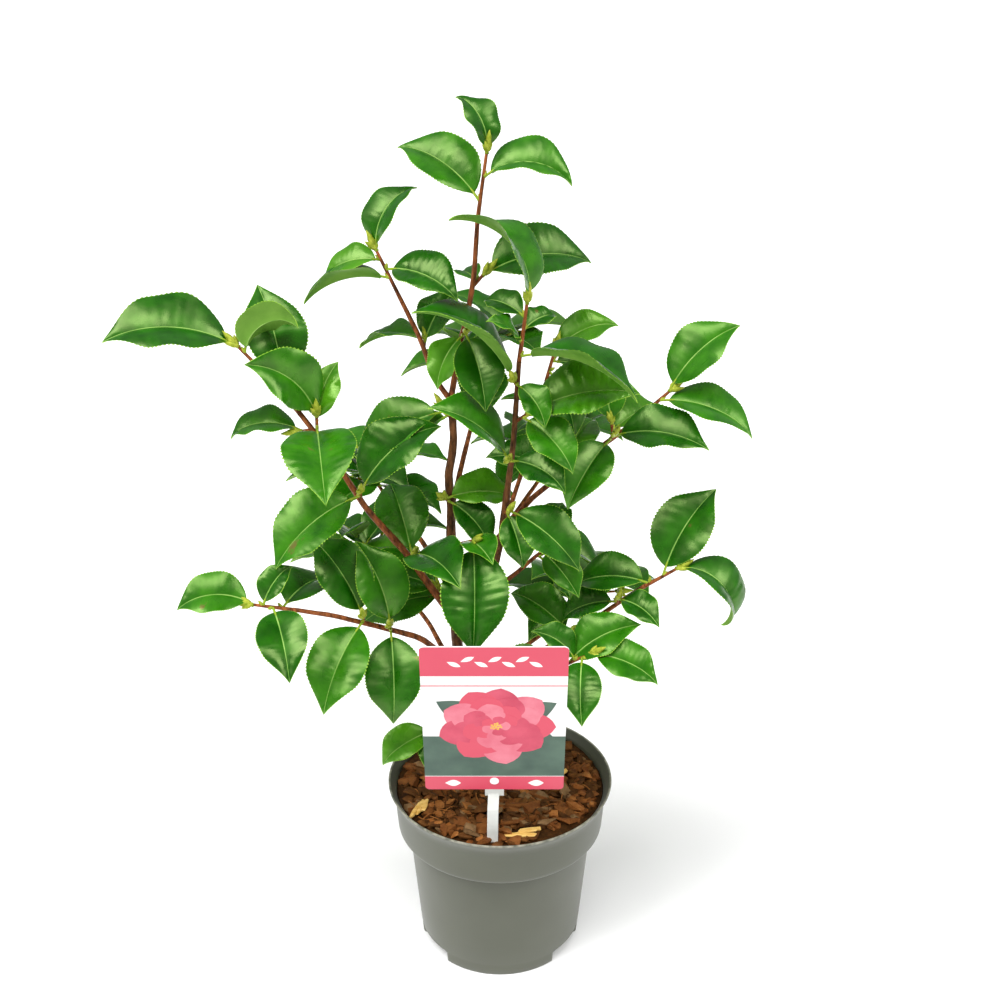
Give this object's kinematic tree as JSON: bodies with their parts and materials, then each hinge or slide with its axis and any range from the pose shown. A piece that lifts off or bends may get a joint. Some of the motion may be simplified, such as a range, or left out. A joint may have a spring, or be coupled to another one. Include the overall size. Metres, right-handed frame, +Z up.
{
  "type": "camellia shrub in a nursery pot",
  "caption": "Young evergreen shrub with glossy pointed leaves on slim brown stems, growing in a round plastic nursery pot topped with bark chips, with a plain picture label on a stem.",
  "frame": {"origin": "centre of the pot's flat underside", "axes": "+Z up through the pot, -Y towards the front where the label faces, +X to the right seen from the front"},
  "size_m": [0.3763, 0.2367, 0.575],
  "materials": {
    "pot_plastic": "matte grey-green injection-moulded plastic, paler and scuffed at the lip and edges",
    "potting_bark": "loose reddish-brown bark chips with a few pale splinters",
    "label_card": "printed plastic card with a soft gloss",
    "label_plastic": "white satin plastic",
    "bark": "smooth brown bark, redder and glossier on the young wood",
    "foliage": "glossy leathery leaves, deep green with a paler midrib, margin and underside"
  },
  "bodies": {
    "root": {"pot": "pot_plastic", "mulch": "potting_bark", "label_card": "label_card", "label_stem": "label_plastic", "trunk": "bark", "bough_leader": "bark", "bough_upper_left": "bark", "bough_second_stem": "bark", "bough_third_stem": "bark", "bough_upper_right": "bark", "bough_left": "bark", "bough_lower_left": "bark", "bough_centre_right": "bark", "bough_right": "bark", "bough_lower_right": "bark", "bough_back_left": "bark", "bough_back_right": "bark", "bough_back_top": "bark", "bough_back_low_left": "bark", "bough_back_low_right": "bark", "leaves_top": "foliage", "leaves_upper_left": "foliage", "leaves_second_stem": "foliage", "leaves_third_stem": "foliage", "leaves_upper_right": "foliage", "leaves_left": "foliage", "leaves_lower_left": "foliage", "leaves_centre_right": "foliage", "leaves_right": "foliage", "leaves_lower_right": "foliage", "leaves_leader_side": "foliage", "leaves_leader_root": "foliage", "leaves_upper_left_side": "foliage", "leaves_second_upper": "foliage", "leaves_second_middle": "foliage", "leaves_second_lower": "foliage", "leaves_second_root": "foliage", "leaves_upper_right_side": "foliage", "leaves_upper_right_back": "foliage", "leaves_upper_right_root": "foliage", "leaves_left_upper": "foliage", "leaves_left_middle": "foliage", "leaves_left_lower": "foliage", "leaves_left_root": "foliage", "leaves_lower_left_side": "foliage", "leaves_lower_left_root": "foliage", "leaves_right_side": "foliage", "leaves_right_root": "foliage", "leaves_trunk_upper": "foliage", "leaves_trunk_middle": "foliage", "leaves_front_centre": "foliage", "leaves_inner_left": "foliage", "leaves_foot": "foliage", "leaves_back_left": "foliage", "leaves_back_right": "foliage", "leaves_back_top": "foliage", "leaves_back_low_left": "foliage", "leaves_back_low_right": "foliage", "leaves_left_side": "foliage"}
  },
  "joints": []
}
